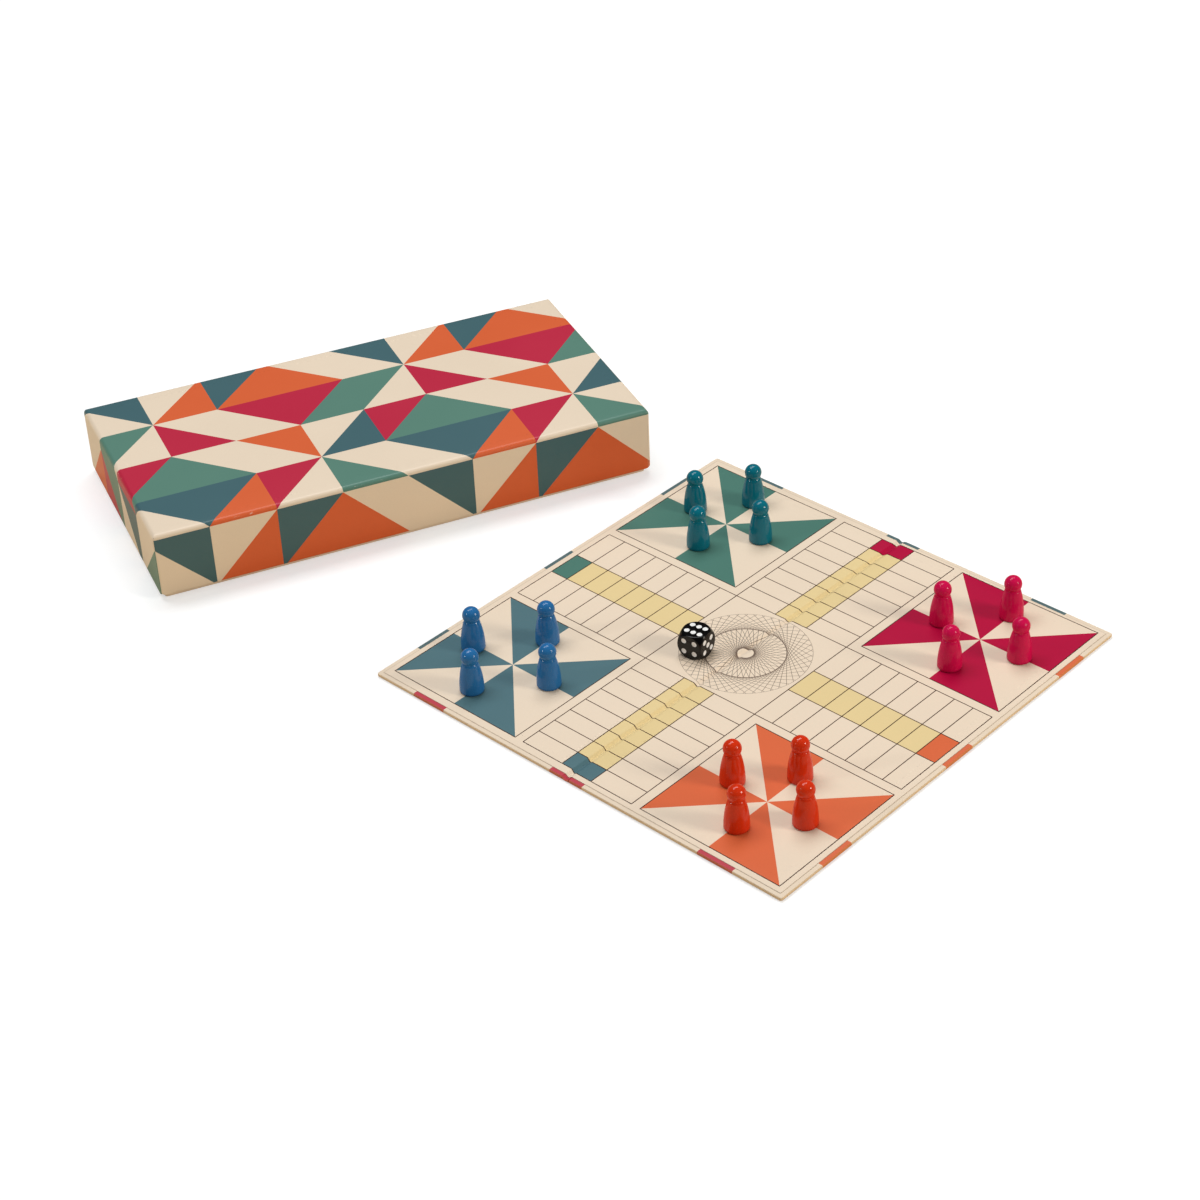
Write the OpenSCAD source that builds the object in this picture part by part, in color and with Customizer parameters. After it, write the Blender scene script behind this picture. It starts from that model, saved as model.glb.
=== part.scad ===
// Ludo set: a shallow lidded box, a board that folds in half, four pawns in each of four colours, and a die.
// The origin is the middle of the box's underside. +X runs along the box, its front faces -Y, and +Z is up.

/* [Box] */
// Outside length of the lid
box_l = 322; // [280:1:400]
// Outside width of the lid
box_w = 165; // [140:1:220]
// Height of the closed box
box_h = 46; // [40:1:80]
// Thickness of the greyboard in the lid and the base
case_board = 1.9; // [1.5:0.1:3]
// Thickness of the wrapping paper
wrap_t = 0.25; // [0.15:0.05:0.5]
// Thickness of the lining paper
liner_t = 0.2; // [0.1:0.05:0.5]
// Radius of the soft edges round the lid's top
lid_edge_r = 3; // [1.5:0.5:4]
// Radius of the upright corners of the lid and the base
corner_r = 1.6; // [1:0.2:3]
// Radius of the corners at the foot of the lid's walls
foot_r = 3.5; // [1:0.5:6]
// Height of the lid's walls above the table
lid_gap = 3.3; // [1:0.1:8]
// Clearance between the lid and the base on each side
lid_play = 0.6; // [0.3:0.1:2]
// Depth of the wrap's turned-in edges
turn_in = 14; // [6:1:20]
// Clearance round the papers pasted inside and under the box
paper_play = 0.4; // [0.2:0.1:2]
// Reach of the corner tapes along each wall
stay_w = 16; // [8:1:30]
// Thickness of the corner tapes, pressed flush into the greyboard
stay_t = 0.2; // [0.1:0.05:0.4]

/* [Insert] */
// Thickness of the insert's card
insert_t = 0.8; // [0.5:0.1:1.5]
// Clearance between the insert and the base on each side
insert_play = 0.5; // [0.2:0.1:2]
// Length of the well that holds the pawns and the die
well_l = 130; // [80:1:180]
// Width of the well that holds the pawns and the die
well_w = 110; // [70:1:130]
// Room above the folded board in the closed box
stack_play = 0.8; // [0.4:0.1:3]
// Length of the folded rules sheet, across the box
leaflet_l = 120; // [60:1:130]
// Width of the folded rules sheet, along the box
leaflet_w = 76; // [40:1:84]
// Thickness of one leaf of the rules sheet
leaf_t = 0.2; // [0.1:0.05:0.4]

/* [Board] */
// Side of the open square board
board_side = 300; // [260:1:306]
// Thickness of the board's greyboard
panel_t = 1.8; // [1.2:0.1:2.4]
// Thickness of the backing paper that wraps the board's edges
backing_t = 0.2; // [0.1:0.05:0.4]
// Thickness of the printed sheet
print_t = 0.2; // [0.1:0.05:0.4]
// Distance from the board's edge to the printed sheet's edge
print_margin = 3; // [1:0.5:8]
// Width of the backing turned over the board's edges
board_turn_in = 12; // [9:1:20]
// Radius of the board's corners
board_corner_r = 1.5; // [0.5:0.5:4]
// Gap between the two halves at the fold
fold_gap = 5; // [4.6:0.1:8]
// Depth of the groove pressed into the print at the fold
fold_dip = 1; // [0.4:0.1:1.2]
// Height of the fold's axis above the print
fold_play = 0.15; // [0.1:0.05:0.5]
// Clearance between the spine strip and the backing of each half
spine_play = 0.1; // [0.05:0.05:0.5]
// Place of the board's middle along X
board_x = 128.5; // [110:0.5:200]
// Place of the board's middle along Y
board_y = -287; // [-400:0.5:-280]
// Turn of the board about Z
board_turn = -66; // [-75:1:-60]

/* [Pawns] */
// Height of a pawn
pawn_h = 28.2; // [22:0.1:34]
// Diameter of a pawn's foot
pawn_foot_d = 14.3; // [12:0.1:18]
// Diameter of a pawn's shoulder
pawn_shoulder_d = 9.4; // [8:0.1:10]
// Diameter of a pawn's neck
pawn_neck_d = 8.2; // [6:0.1:9]
// Diameter of a pawn's head
pawn_head_d = 10.4; // [9.8:0.1:12]
// Height of the shoulder under the neck
pawn_collar_h = 1; // [0.4:0.1:2]
// Radius of the foot's edge
pawn_edge_r = 1.1; // [0.5:0.1:2]
// Swell of a pawn's flank, from 1 for a straight taper to 3 for a bell
pawn_swell = 2.2; // [1:0.1:3]
// Distance from the board's middle to a yard's middle, along and across
yard_offset = 96.2; // [85:0.1:105]
// Distance from a yard's middle to its pawns
pawn_reach = 28; // [20:0.5:36]

/* [Die] */
// Side of the die
die_size = 16; // [12:0.5:20]
// Diameter of the ball that rounds the die's corners, as a share of its side
die_ball = 1.4; // [1.25:0.01:1.41]
// Diameter of a pip
pip_d = 3.4; // [2:0.1:3.6]
// Depth of a pip
pip_depth = 0.6; // [0.3:0.1:1]
// Thickness of the paint in a pip
pip_paint = 0.25; // [0.1:0.05:0.25]
// Clearance round the paint in a pip
pip_play = 0.05; // [0.02:0.01:0.1]
// Distance of the outer pips from a face's middle
pip_pitch = 3.5; // [2.4:0.1:3.6]
// Place of the die from the board's middle, across the fold
die_across = -22.2; // [-40:0.1:-14]
// Place of the die from the board's middle, along the fold
die_along = -17.4; // [-40:0.1:40]
// Turn of the die on the board
die_turn = 8.7; // [0:0.1:45]

/* [Hidden] */
COLOURS = ["blue", "green", "crimson", "orange"];
PAWNS = [for (c = COLOURS) for (i = [1:4]) str("pawn_", c, "_", i)];

CREAM = [0.90, 0.82, 0.70];
CRIMSON = [0.70, 0.16, 0.27];
TEAL = [0.29, 0.42, 0.46];
GREYBOARD = [0.62, 0.57, 0.50];
LINER = [0.93, 0.91, 0.86];
BLACK = [0.05, 0.05, 0.05];
WHITE = [0.96, 0.96, 0.95];
PAINT = [[0.17, 0.36, 0.56], [0.08, 0.36, 0.38], [0.69, 0.06, 0.20], [0.81, 0.28, 0.14]];
// Side of each colour's yard, across and along the fold.
YARD = [[-1, -1], [-1, 1], [1, 1], [1, -1]];
// Side of each pawn in its yard, across and along the fold.
STAND = [[-1, 0], [0, 1], [1, 0], [0, -1]];
// Where each pawn was set down, off its exact place.
NUDGE = [
    [[-0.3, -0.5], [0.9, 3.3], [2.2, 1.7], [0, -2]],
    [[3.4, -0.9], [-1.4, -0.7], [0, -1], [3, -2.1]],
    [[-0.6, 0], [-0.8, 2.3], [-1.3, -0.6], [0.8, -3.8]],
    [[1.9, 2], [-0.3, -0.1], [-2.3, 0.3], [0.1, 2.6]]
];

$fn = 48;
eps = 1;
wall_in = wrap_t + case_board;
lid_in_top = box_h - wall_in;
base_l = box_l - 2 * (wall_in + wrap_t + lid_play);
base_w = box_w - 2 * (wall_in + wrap_t + lid_play);
base_top = lid_in_top - liner_t;
floor_z = wall_in + liner_t;
panel_top = backing_t + panel_t;
board_top = panel_top + backing_t + print_t;
leaflet_t = 3 * leaf_t;
folded_t = 2 * (board_top + fold_play);
insert_h = base_top - floor_z - folded_t - leaflet_t - stack_play;
insert_l = base_l - 2 * (wall_in + wrap_t + insert_play);
insert_w = base_w - 2 * (wall_in + wrap_t + insert_play);
deck_z = floor_z + insert_h;
groove_run = fold_gap / 2 + 0.8;
six_along = 1.22 * pip_pitch;
six_across = 0.9 * pip_pitch;

module rounded_rect(l, w, r) {
    for (sx = [-1, 1], sy = [-1, 1])
        translate([sx * (l / 2 - r), sy * (w / 2 - r)]) circle(r);
    square([l - 2 * r, w], center = true);
    square([l, w - 2 * r], center = true);
}

// A rectangle standing on the X axis, with rounded top corners.
module arch(w, h, r) {
    translate([-w / 2, 0]) square([w, h - r]);
    translate([-w / 2 + r, 0]) square([w - 2 * r, h]);
    for (s = [-1, 1]) translate([s * (w / 2 - r), h - r]) circle(r);
}

// A block standing on z, centred on the Z axis.
module block(l, w, z, h) {
    translate([-l / 2, -w / 2, z]) cube([l, w, h]);
}

// The room for the tapes round the four corners of a case, open to the outside.
module tape_space(l, w, z, h) {
    inset = 2 * (wrap_t + stay_t);
    translate([0, 0, z]) linear_extrude(h) difference() {
        for (sx = [-1, 1], sy = [-1, 1])
            translate([sx * (l - stay_w) / 2, sy * (w - stay_w) / 2]) square(stay_w, center = true);
        rounded_rect(l - inset, w - inset, corner_r - wrap_t - stay_t);
    }
}

// ---- Lid ----

// The lid's outside, drawn in on every side.
module lid_form(inset) {
    l = box_l - 2 * inset;
    w = box_w - 2 * inset;
    h = box_h - lid_gap - 2 * inset;
    edge = lid_edge_r - inset;
    translate([0, 0, lid_gap + inset]) intersection() {
        linear_extrude(h) rounded_rect(l, w, corner_r - inset);
        rotate([90, 0, 0]) linear_extrude(w + 2 * eps, center = true) arch(l, h, edge);
        rotate([90, 0, 90]) linear_extrude(l + 2 * eps, center = true) arch(w, h, edge);
    }
}

// What rounds the lower corner of a wall, seen square to the wall.
module foot_corner(reach, inset) {
    translate([reach - foot_r, lid_gap + foot_r]) difference() {
        translate([0, -foot_r - eps]) square(foot_r + eps);
        circle(foot_r - inset);
    }
}

// The rounding of both walls at each corner of the lid, mitred where they meet.
module foot_cuts(inset) {
    for (sx = [0, 1], sy = [0, 1]) mirror([sx, 0, 0]) mirror([0, sy, 0]) intersection() {
        rotate([90, 0, 0]) linear_extrude(box_w + 2 * eps, center = true) foot_corner(box_l / 2, inset);
        rotate([90, 0, 90]) linear_extrude(box_l + 2 * eps, center = true) foot_corner(box_w / 2, inset);
    }
}

// The hollow of the lid, a given distance in from the outside.
module lid_hollow(inset, z, top) {
    block(box_l - 2 * inset, box_w - 2 * inset, z, top - z);
}

module lid_tape_space() {
    z = lid_gap + foot_r + wrap_t;
    tape_space(box_l, box_w, z, box_h - lid_edge_r - z);
}

module lid_board() {
    color(GREYBOARD) difference() {
        lid_form(wrap_t);
        lid_hollow(wall_in, lid_gap - eps, lid_in_top);
        foot_cuts(wrap_t);
        lid_tape_space();
    }
}

module lid_wrap() {
    color(CRIMSON) difference() {
        union() {
            difference() {
                lid_form(0);
                difference() {
                    lid_form(wrap_t);
                    foot_cuts(wrap_t);
                }
                lid_hollow(wall_in, lid_gap - eps, lid_in_top);
            }
            difference() {
                lid_hollow(wall_in, lid_gap, lid_gap + turn_in);
                lid_hollow(wall_in + wrap_t, lid_gap - eps, lid_gap + turn_in + eps);
            }
        }
        foot_cuts(0);
    }
}

module lid_liner() {
    inset = 2 * (wall_in + paper_play);
    color(LINER) block(box_l - inset, box_w - inset, base_top, liner_t);
}

module lid_corner_tapes() {
    color(LINER) intersection() {
        lid_form(wrap_t);
        lid_tape_space();
    }
}

// ---- Base ----

module base_form(inset) {
    translate([0, 0, inset]) linear_extrude(base_top - 2 * inset)
        rounded_rect(base_l - 2 * inset, base_w - 2 * inset, corner_r - inset);
}

module base_hollow(inset, z, top) {
    block(base_l - 2 * inset, base_w - 2 * inset, z, top - z);
}

module base_tape_space() {
    tape_space(base_l, base_w, wall_in, base_top - turn_in / 2 - wall_in);
}

module base_board() {
    color(GREYBOARD) difference() {
        base_form(wrap_t);
        base_hollow(wall_in, wall_in, base_top + eps);
        base_tape_space();
    }
}

module base_wrap() {
    color(CREAM) {
        difference() {
            base_form(0);
            base_form(wrap_t);
            base_hollow(wall_in, base_top / 2, base_top + eps);
            base_hollow(turn_in, -eps, base_top / 2);
        }
        difference() {
            base_hollow(wall_in, base_top - turn_in, base_top);
            base_hollow(wall_in + wrap_t, base_top - turn_in - eps, base_top + eps);
        }
    }
}

module base_underside() {
    color(CREAM) base_hollow(turn_in + paper_play, 0, wrap_t);
}

module base_liner() {
    color(LINER) base_hollow(wall_in + paper_play, wall_in, floor_z);
}

module base_corner_tapes() {
    color(LINER) intersection() {
        base_form(wrap_t);
        base_tape_space();
    }
}

// ---- Inside the box ----

module insert_tray() {
    color(LINER) difference() {
        union() {
            difference() {
                block(insert_l, insert_w, floor_z, insert_h);
                block(insert_l - 2 * insert_t, insert_w - 2 * insert_t, floor_z - eps, insert_h - insert_t + eps);
            }
            block(well_l + 2 * insert_t, well_w + 2 * insert_t, floor_z, insert_h);
        }
        block(well_l, well_w, floor_z - eps, insert_h + 2 * eps);
    }
}

// One sheet folded once, lying on the insert beside the well.
module rules_sheet() {
    side = (well_l + insert_l) / 4;
    color(WHITE) translate([side, 0, deck_z]) difference() {
        block(leaflet_w, leaflet_l, 0, leaflet_t);
        translate([leaf_t, 0, 0]) block(leaflet_w, leaflet_l + 2 * eps, leaf_t, leaf_t);
    }
}

// ---- Board ----

// Puts a shape drawn round the board's middle in its place, with the fold along its Y axis.
module on_board() {
    translate([board_x, board_y, 0]) rotate([0, 0, board_turn]) children();
}

// The outline of one half, drawn in from the board's edges, and starting a given distance from the fold.
module half_plan(side, inset, start) {
    intersection() {
        rounded_rect(board_side - 2 * inset, board_side - 2 * inset, board_corner_r);
        translate([side * (start + board_side / 2), 0]) square([board_side, 2 * board_side], center = true);
    }
}

module half_slab(side, inset, start, z, h) {
    translate([0, 0, z]) linear_extrude(h) half_plan(side, inset, start);
}

module board_panel(side) {
    color(GREYBOARD) on_board() half_slab(side, backing_t, fold_gap / 2, backing_t, panel_t);
}

// Paper under one half, up its three outer edges and in over its face.
module board_backing(side) {
    color(TEAL) on_board() difference() {
        half_slab(side, 0, fold_gap / 2, 0, panel_top + backing_t);
        half_slab(side, backing_t, fold_gap / 2 - eps, backing_t, panel_t);
        half_slab(side, board_turn_in, fold_gap / 2 - eps, panel_top - backing_t / 2, 2 * backing_t);
    }
}

// The printed sheet over one half, with its share of the groove at the fold.
module board_print(side) {
    length = board_side - 2 * print_margin;
    groove = [
        [groove_run, board_top],
        [fold_gap / 2, board_top - print_t / 2],
        [fold_gap / 4, board_top - 0.75 * fold_dip],
        [0, board_top - fold_dip],
        [0, board_top - fold_dip - print_t],
        [fold_gap / 4, board_top - 0.75 * fold_dip - print_t],
        [fold_gap / 2, board_top - print_t],
        [groove_run, board_top - print_t]
    ];
    color(CREAM) on_board() {
        half_slab(side, print_margin, groove_run, panel_top + backing_t, print_t);
        half_slab(side, board_turn_in + paper_play, fold_gap / 2, panel_top, backing_t);
        rotate([90, 0, 0]) linear_extrude(length, center = true) mirror([side < 0 ? 1 : 0, 0]) polygon(groove);
    }
}

// The backing's strip between the two halves, which turns half as far as the board folds.
module board_spine() {
    color(TEAL) on_board() block(fold_gap - 2 * spine_play, board_side, 0, backing_t);
}

// ---- Pawns ----

function arc(x, y, r, from, to, steps) =
    [for (i = [0:steps]) let (a = from + (to - from) * i / steps) [x + r * cos(a), y + r * sin(a)]];

// The flank starts upright at the foot and leans in ever more towards the shoulder.
function flank(r0, z0, r1, z1, steps) =
    [for (i = [1:steps]) let (t = i / steps) [r0 + (r1 - r0) * pow(t, pawn_swell), z0 + (z1 - z0) * t]];

function pawn_profile() =
    let (head_r = pawn_head_d / 2)
    let (neck_angle = acos(pawn_neck_d / pawn_head_d))
    let (head_z = pawn_h - head_r)
    let (shoulder_z = head_z - head_r * sin(neck_angle) - pawn_collar_h)
    let (foot_r0 = pawn_foot_d / 2)
    concat(
        [[0, 0]],
        arc(foot_r0 - pawn_edge_r, pawn_edge_r, pawn_edge_r, -90, 0, 5),
        flank(foot_r0, pawn_edge_r, pawn_shoulder_d / 2, shoulder_z, 9),
        arc(0, head_z, head_r, -neck_angle, 90, 12)
    );

// A turned pawn, set down on the print. The colour and the place in the yard are counted from nought.
module pawn(colour, place) {
    spot = yard_offset * YARD[colour] + pawn_reach * STAND[place] + NUDGE[colour][place];
    color(PAINT[colour]) on_board() translate([spot.x, spot.y, board_top])
        rotate_extrude() polygon(pawn_profile());
}

// ---- Die ----

// Where the pips of a number stand on a face, in shares of the pitch.
function corners() = [[-1, -1], [1, 1], [-1, 1], [1, -1]];
function pips(n) =
    n == 1 ? [[0, 0]]
    : n == 2 ? [[-1, -1], [1, 1]]
    : n == 3 ? [[-1, -1], [0, 0], [1, 1]]
    : n == 4 ? corners()
    : n == 5 ? concat(corners(), [[0, 0]])
    : concat(corners(), [[0, -1], [0, 1]]);

// The turn that brings each number's face to the top of its own frame.
FACES = [[1, [180, 0, 0]], [2, [0, -90, 0]], [3, [-90, 0, 0]], [4, [90, 0, 0]], [5, [0, 90, 0]], [6, [0, 0, 0]]];

module in_pips(depth, h, d) {
    for (f = FACES) rotate(f[1]) for (p = pips(f[0])) {
        along = f[0] == 6 ? six_along : pip_pitch;
        across = f[0] == 6 ? six_across : pip_pitch;
        translate([p.x * along, p.y * across, die_size / 2 - depth]) cylinder(d = d, h = h);
    }
}

module on_die() {
    on_board() translate([die_across, die_along, board_top + die_size / 2]) rotate([0, 0, die_turn]) children();
}

module die_body() {
    color(BLACK) on_die() difference() {
        intersection() {
            cube(die_size, center = true);
            sphere(d = die_ball * die_size, $fn = 96);
        }
        in_pips(pip_depth, pip_depth + eps, pip_d);
    }
}

module die_pips() {
    color(WHITE) on_die() in_pips(pip_depth, pip_paint, pip_d - 2 * pip_play);
}

base_board();
base_wrap();
base_underside();
base_liner();
base_corner_tapes();
insert_tray();
rules_sheet();
lid_board();
lid_wrap();
lid_liner();
lid_corner_tapes();
board_panel(-1);  // board_panel_left
board_panel(1);  // board_panel_right
board_backing(-1);  // board_backing_left
board_backing(1);  // board_backing_right
board_print(-1);  // board_print_left
board_print(1);  // board_print_right
board_spine();
die_body();
die_pips();
for (c = [0:3], i = [0:3])
    pawn(c, i);
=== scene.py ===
"""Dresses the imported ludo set: printed papers, painted pawns and a die on the frame, in a plain studio."""

import math

import bpy
import numpy as np
from bpy.props import FloatProperty, FloatVectorProperty, IntProperty, PointerProperty
from bpy.types import Operator, Panel, PropertyGroup
from mathutils import Matrix, Quaternion, Vector


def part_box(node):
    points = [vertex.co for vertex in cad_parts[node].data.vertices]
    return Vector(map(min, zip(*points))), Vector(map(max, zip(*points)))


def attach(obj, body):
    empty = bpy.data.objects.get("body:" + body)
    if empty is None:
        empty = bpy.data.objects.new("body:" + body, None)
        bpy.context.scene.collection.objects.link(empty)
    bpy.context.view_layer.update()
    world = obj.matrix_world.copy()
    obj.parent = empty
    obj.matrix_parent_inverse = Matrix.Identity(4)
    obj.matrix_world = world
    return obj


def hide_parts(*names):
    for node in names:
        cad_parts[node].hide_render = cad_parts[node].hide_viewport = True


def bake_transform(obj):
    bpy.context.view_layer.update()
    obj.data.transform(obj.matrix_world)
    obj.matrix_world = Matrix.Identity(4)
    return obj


bl_info = {
    "name": "Ludo Set Look",
    "version": (1, 0, 0),
    "blender": (4, 5, 0),
    "location": "3D View > Sidebar > Ludo Set",
    "description": "Builds the printed case, the folding board, the pawns and the die round the loaded frame",
    "category": "Object",
}

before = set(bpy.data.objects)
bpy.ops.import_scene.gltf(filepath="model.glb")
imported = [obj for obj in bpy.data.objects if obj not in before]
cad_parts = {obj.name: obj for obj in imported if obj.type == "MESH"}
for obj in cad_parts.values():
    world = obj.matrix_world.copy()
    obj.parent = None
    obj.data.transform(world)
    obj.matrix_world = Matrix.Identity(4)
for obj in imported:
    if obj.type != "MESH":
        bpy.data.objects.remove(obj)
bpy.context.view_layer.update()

MM = 0.001
COLOURS = ("blue", "green", "crimson", "orange")
INKS = ("cream", "crimson", "teal", "green", "orange")
LID_LOW, LID_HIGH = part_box("lid_wrap")
BASE_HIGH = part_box("base_wrap")[1]
BACK_LOW, BACK_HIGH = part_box("board_backing_left")
FAR_LOW, FAR_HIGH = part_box("board_backing_right")
PRINT_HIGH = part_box("board_print_left")[1]
DIE_LOW, DIE_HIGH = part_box("die_body")

# The board lies turned by this angle. Half its side is solved from its span, for a turned square with round corners,
# and kept to half a millimetre.
BOARD_TURN = math.radians(-66)
BOARD_CORNER = 1.5 * MM
BOARD_LEFT, BOARD_RIGHT = min(BACK_LOW.x, FAR_LOW.x), max(BACK_HIGH.x, FAR_HIGH.x)
BOARD_MIDDLE = (
    (BOARD_LEFT + BOARD_RIGHT) / 2,
    (min(BACK_LOW.y, FAR_LOW.y) + max(BACK_HIGH.y, FAR_HIGH.y)) / 2,
)
BOARD_REACH = ((BOARD_RIGHT - BOARD_LEFT) / 2 - BOARD_CORNER) / (math.cos(BOARD_TURN) - math.sin(BOARD_TURN))
BOARD_HALF = round((BOARD_CORNER + BOARD_REACH) * 2000) / 2000


def linear(red, green, blue):
    """The linear colour of a display colour from 0 to 255, by the sRGB curve: a straight foot, then a 2.4 power."""
    c = np.array([red, green, blue]) / 255
    return tuple(np.where(c <= 0.04045, c / 12.92, ((c + 0.055) / 1.055) ** 2.4).tolist())


# ---- What a user may change ----


def length(description, millimetres):
    return FloatProperty(description=description, default=millimetres * MM, unit="LENGTH", min=0, precision=5)


def tint(description, *display):
    return FloatVectorProperty(
        description=description, default=linear(*display), subtype="COLOR", size=3, min=0, max=1
    )


def amount(description, default, **more):
    return FloatProperty(description=description, default=default, **more)


class InkColours(PropertyGroup):
    """Inks and papers of the case and the board."""

    cream: tint("Ground colour of the case's paper", 233, 214, 190)
    crimson: tint("Crimson ink of the case", 189, 25, 61)
    teal: tint("Blue ink of the case", 62, 99, 106)
    green: tint("Green ink of the case", 86, 130, 115)
    orange: tint("Orange ink of the case", 218, 96, 47)
    yellow: tint("Ink of the home lanes", 231, 207, 152)
    line: tint("Ink of the thin lines", 64, 34, 20)
    board_cream: tint("Ground colour of the board", 236, 217, 194)
    board_crimson: tint("Crimson ink of the board", 181, 5, 60)
    board_teal: tint("Blue ink of the board", 82, 116, 124)
    board_green: tint("Green ink of the board", 77, 123, 111)
    board_orange: tint("Orange ink of the board", 220, 105, 63)
    greyboard: tint("Bare greyboard", 158, 148, 134)
    lining: tint("Lining paper", 236, 231, 221)


class PaintColours(PropertyGroup):
    """Paints of the pawns and the die."""

    blue: tint("Paint of the blue pawns", 38, 108, 167)
    green: tint("Paint of the green pawns", 2, 108, 127)
    crimson: tint("Paint of the crimson pawns", 207, 13, 77)
    orange: tint("Paint of the orange pawns", 214, 50, 12)
    black: tint("Plastic of the die", 6, 5, 5)
    white: tint("Paint in the die's spots", 240, 240, 238)


class CaseSizes(PropertyGroup):
    """Sizes of the lidded case."""

    edge: length("Radius of the soft edges round the lid's top", 3)
    corner: length("Radius of the upright corners", 1.6)
    foot: length("Radius of the lid walls' lower corners", 3.5)
    paper: length("Thickness of the wrapping paper", 0.25)
    wall: length("Thickness of the greyboard with its wrap", 2.15)
    turn_in: length("Depth of the wrap's turned-in edges", 14)
    block: length("Side of one block of the quilt pattern", 84)


class BoardSizes(PropertyGroup):
    """Sizes of the folding board and what is printed on it."""

    dip: length("Depth of the groove at the fold", 1.5)
    groove_left: length("Reach of the groove to the left of the fold", 4.3)
    groove_right: length("Reach of the groove to the right of the fold", 1.3)
    margin: length("From the board's edge to the printed sheet's edge", 3)
    edge: length("Radius of the wrapped edges", 0.62)
    sheet: length("Thickness of the printed sheet and of the backing", 0.2)
    arm: length("Half the width of the cross-shaped track", 40.9)
    lane: length("Half the width of a home lane", 11.35)
    track: length("From the board's middle to the track's end", 143.2)
    cells: IntProperty(description="Cells along each arm", default=8, min=2)
    yard: length("Side of a yard", 96.1)
    yard_place: length("From the board's middle to a yard's middle, each way", 95.15)
    line: length("Width of the printed lines", 0.6)
    rosette: length("Outer radius of the rosette", 38.6)
    ring: length("Radius of the rosette's middle ring", 23.6)
    eye: length("Radius of the rosette's open middle", 5)
    dash: length("Length of the coloured dashes on the edge", 24)
    dash_pitch: length("Distance between the dashes", 106.3)


class PawnSizes(PropertyGroup):
    """Sizes of a turned pawn."""

    height: length("Height of a pawn", 28.2)
    foot: length("Radius of the foot", 7.15)
    shoulder: length("Radius of the shoulder", 4.7)
    neck: length("Radius of the neck", 4.1)
    head: length("Radius of the head", 5.2)
    collar: length("Height of the slope under the neck", 1)
    edge: length("Radius of the foot's edge", 1.1)
    swell: amount("Swell of the flank, from straight to bell", 2.2, min=1, max=3)


class DieSizes(PropertyGroup):
    """Sizes of the die."""

    side: length("Side of the die", 16)
    ball: amount("Diameter of the rounding ball, as a share of the side", 1.4, min=1.2, max=1.6)
    spot: length("Radius of a spot", 1.78)
    depth: length("Depth of a spot's dish", 0.6)
    pitch: length("From a face's middle to its outer spots", 3.5)
    turn: amount("Turn of the die on the board", math.radians(8.7), unit="ROTATION")


class StudioLook(PropertyGroup):
    """Camera and lamps."""

    lens: amount("Focal length in millimetres", 79.42, min=10)
    roll: amount("Turn of the camera about its view", math.radians(2.542), unit="ROTATION")
    sky: amount("Strength of the even light", 0.2, min=0)
    shine: amount("Strength of the even light in reflections", 0.08, min=0)
    top: amount("Power of the long soft lamp overhead", 61.5, unit="POWER", min=0)
    left: amount("Power of the lamp on the left", 6.0, unit="POWER", min=0)
    right: amount("Power of the lamp on the right", 24.0, unit="POWER", min=0)
    floor: tint("Colour of the floor, as the set sees it", 234, 212, 176)


# ---- Surfaces ----


def grid_faces(rows, columns, close_rows=False, close_columns=False):
    """Quads of a grid of rows x columns points; a closed direction joins its last line to its first."""
    i = np.arange(rows if close_rows else rows - 1)
    j = np.arange(columns if close_columns else columns - 1)
    i, j = (x.ravel() for x in np.meshgrid(i, j, indexing="ij"))
    right, down = (j + 1) % columns, (i + 1) % rows
    return np.stack([i * columns + j, i * columns + right, down * columns + right, down * columns + j], 1)


def swept_volume(points, faces):
    """Six times the volume inside quads: the sum of each half quad's corner . (corner x corner)."""
    a, b, c, d = (points[faces[:, k]] for k in range(4))
    return (np.cross(a, b) * c).sum() + (np.cross(a, c) * d).sum()


def new_piece(name, points, quads, caps=(), quad_uv=None, cap_uv=None, smooth=35):
    """A mesh object from points and quads, with flat caps as lists of point numbers. Each corner has its own UV."""
    mesh = bpy.data.meshes.new(name)
    mesh.from_pydata(points.tolist(), [], quads.tolist() + [list(c) for c in caps])
    if quad_uv is not None:
        parts = [np.reshape(quad_uv, (-1, 2))] + [np.reshape(u, (-1, 2)) for u in cap_uv or ()]
        layer = mesh.uv_layers.new(name="Sheet")
        layer.data.foreach_set("uv", np.concatenate(parts).astype(np.float32).ravel())
    mesh.shade_smooth()
    mesh.set_sharp_from_angle(angle=math.radians(smooth))
    mesh.update()
    piece = bpy.data.objects.new(name, mesh)
    bpy.context.scene.collection.objects.link(piece)
    return piece


def note(piece, name, values):
    """Keeps one number for each point, for a material to read."""
    kept = piece.data.attributes.new(name, "FLOAT", "POINT")
    kept.data.foreach_set("value", np.asarray(values, np.float32).ravel())


def on_board(points):
    """Points drawn across, along and above the board, turned and moved to where it lies."""
    c, s = math.cos(BOARD_TURN), math.sin(BOARD_TURN)
    across, along = points[..., 0], points[..., 1]
    x = BOARD_MIDDLE[0] + across * c - along * s
    y = BOARD_MIDDLE[1] + across * s + along * c
    return np.stack([x, y, points[..., 2]], -1)


def arc(middle, radius, start, end, steps):
    """Points on a circle from one angle to another, in degrees: middle + radius (cos, sin)."""
    a = np.radians(np.linspace(start, end, steps + 1))
    return np.stack([middle[0] + radius * np.cos(a), middle[1] + radius * np.sin(a)], 1)


# Distances from a corner at which a side has points, the even points between them, and a corner's least radius.
NEAR_CORNER = np.array([0.3, 0.7, 1.1, 1.5, 2.1, 3.0, 5.0]) * MM
BETWEEN = 8
LEAST_RADIUS = 0.12 * MM


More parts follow.
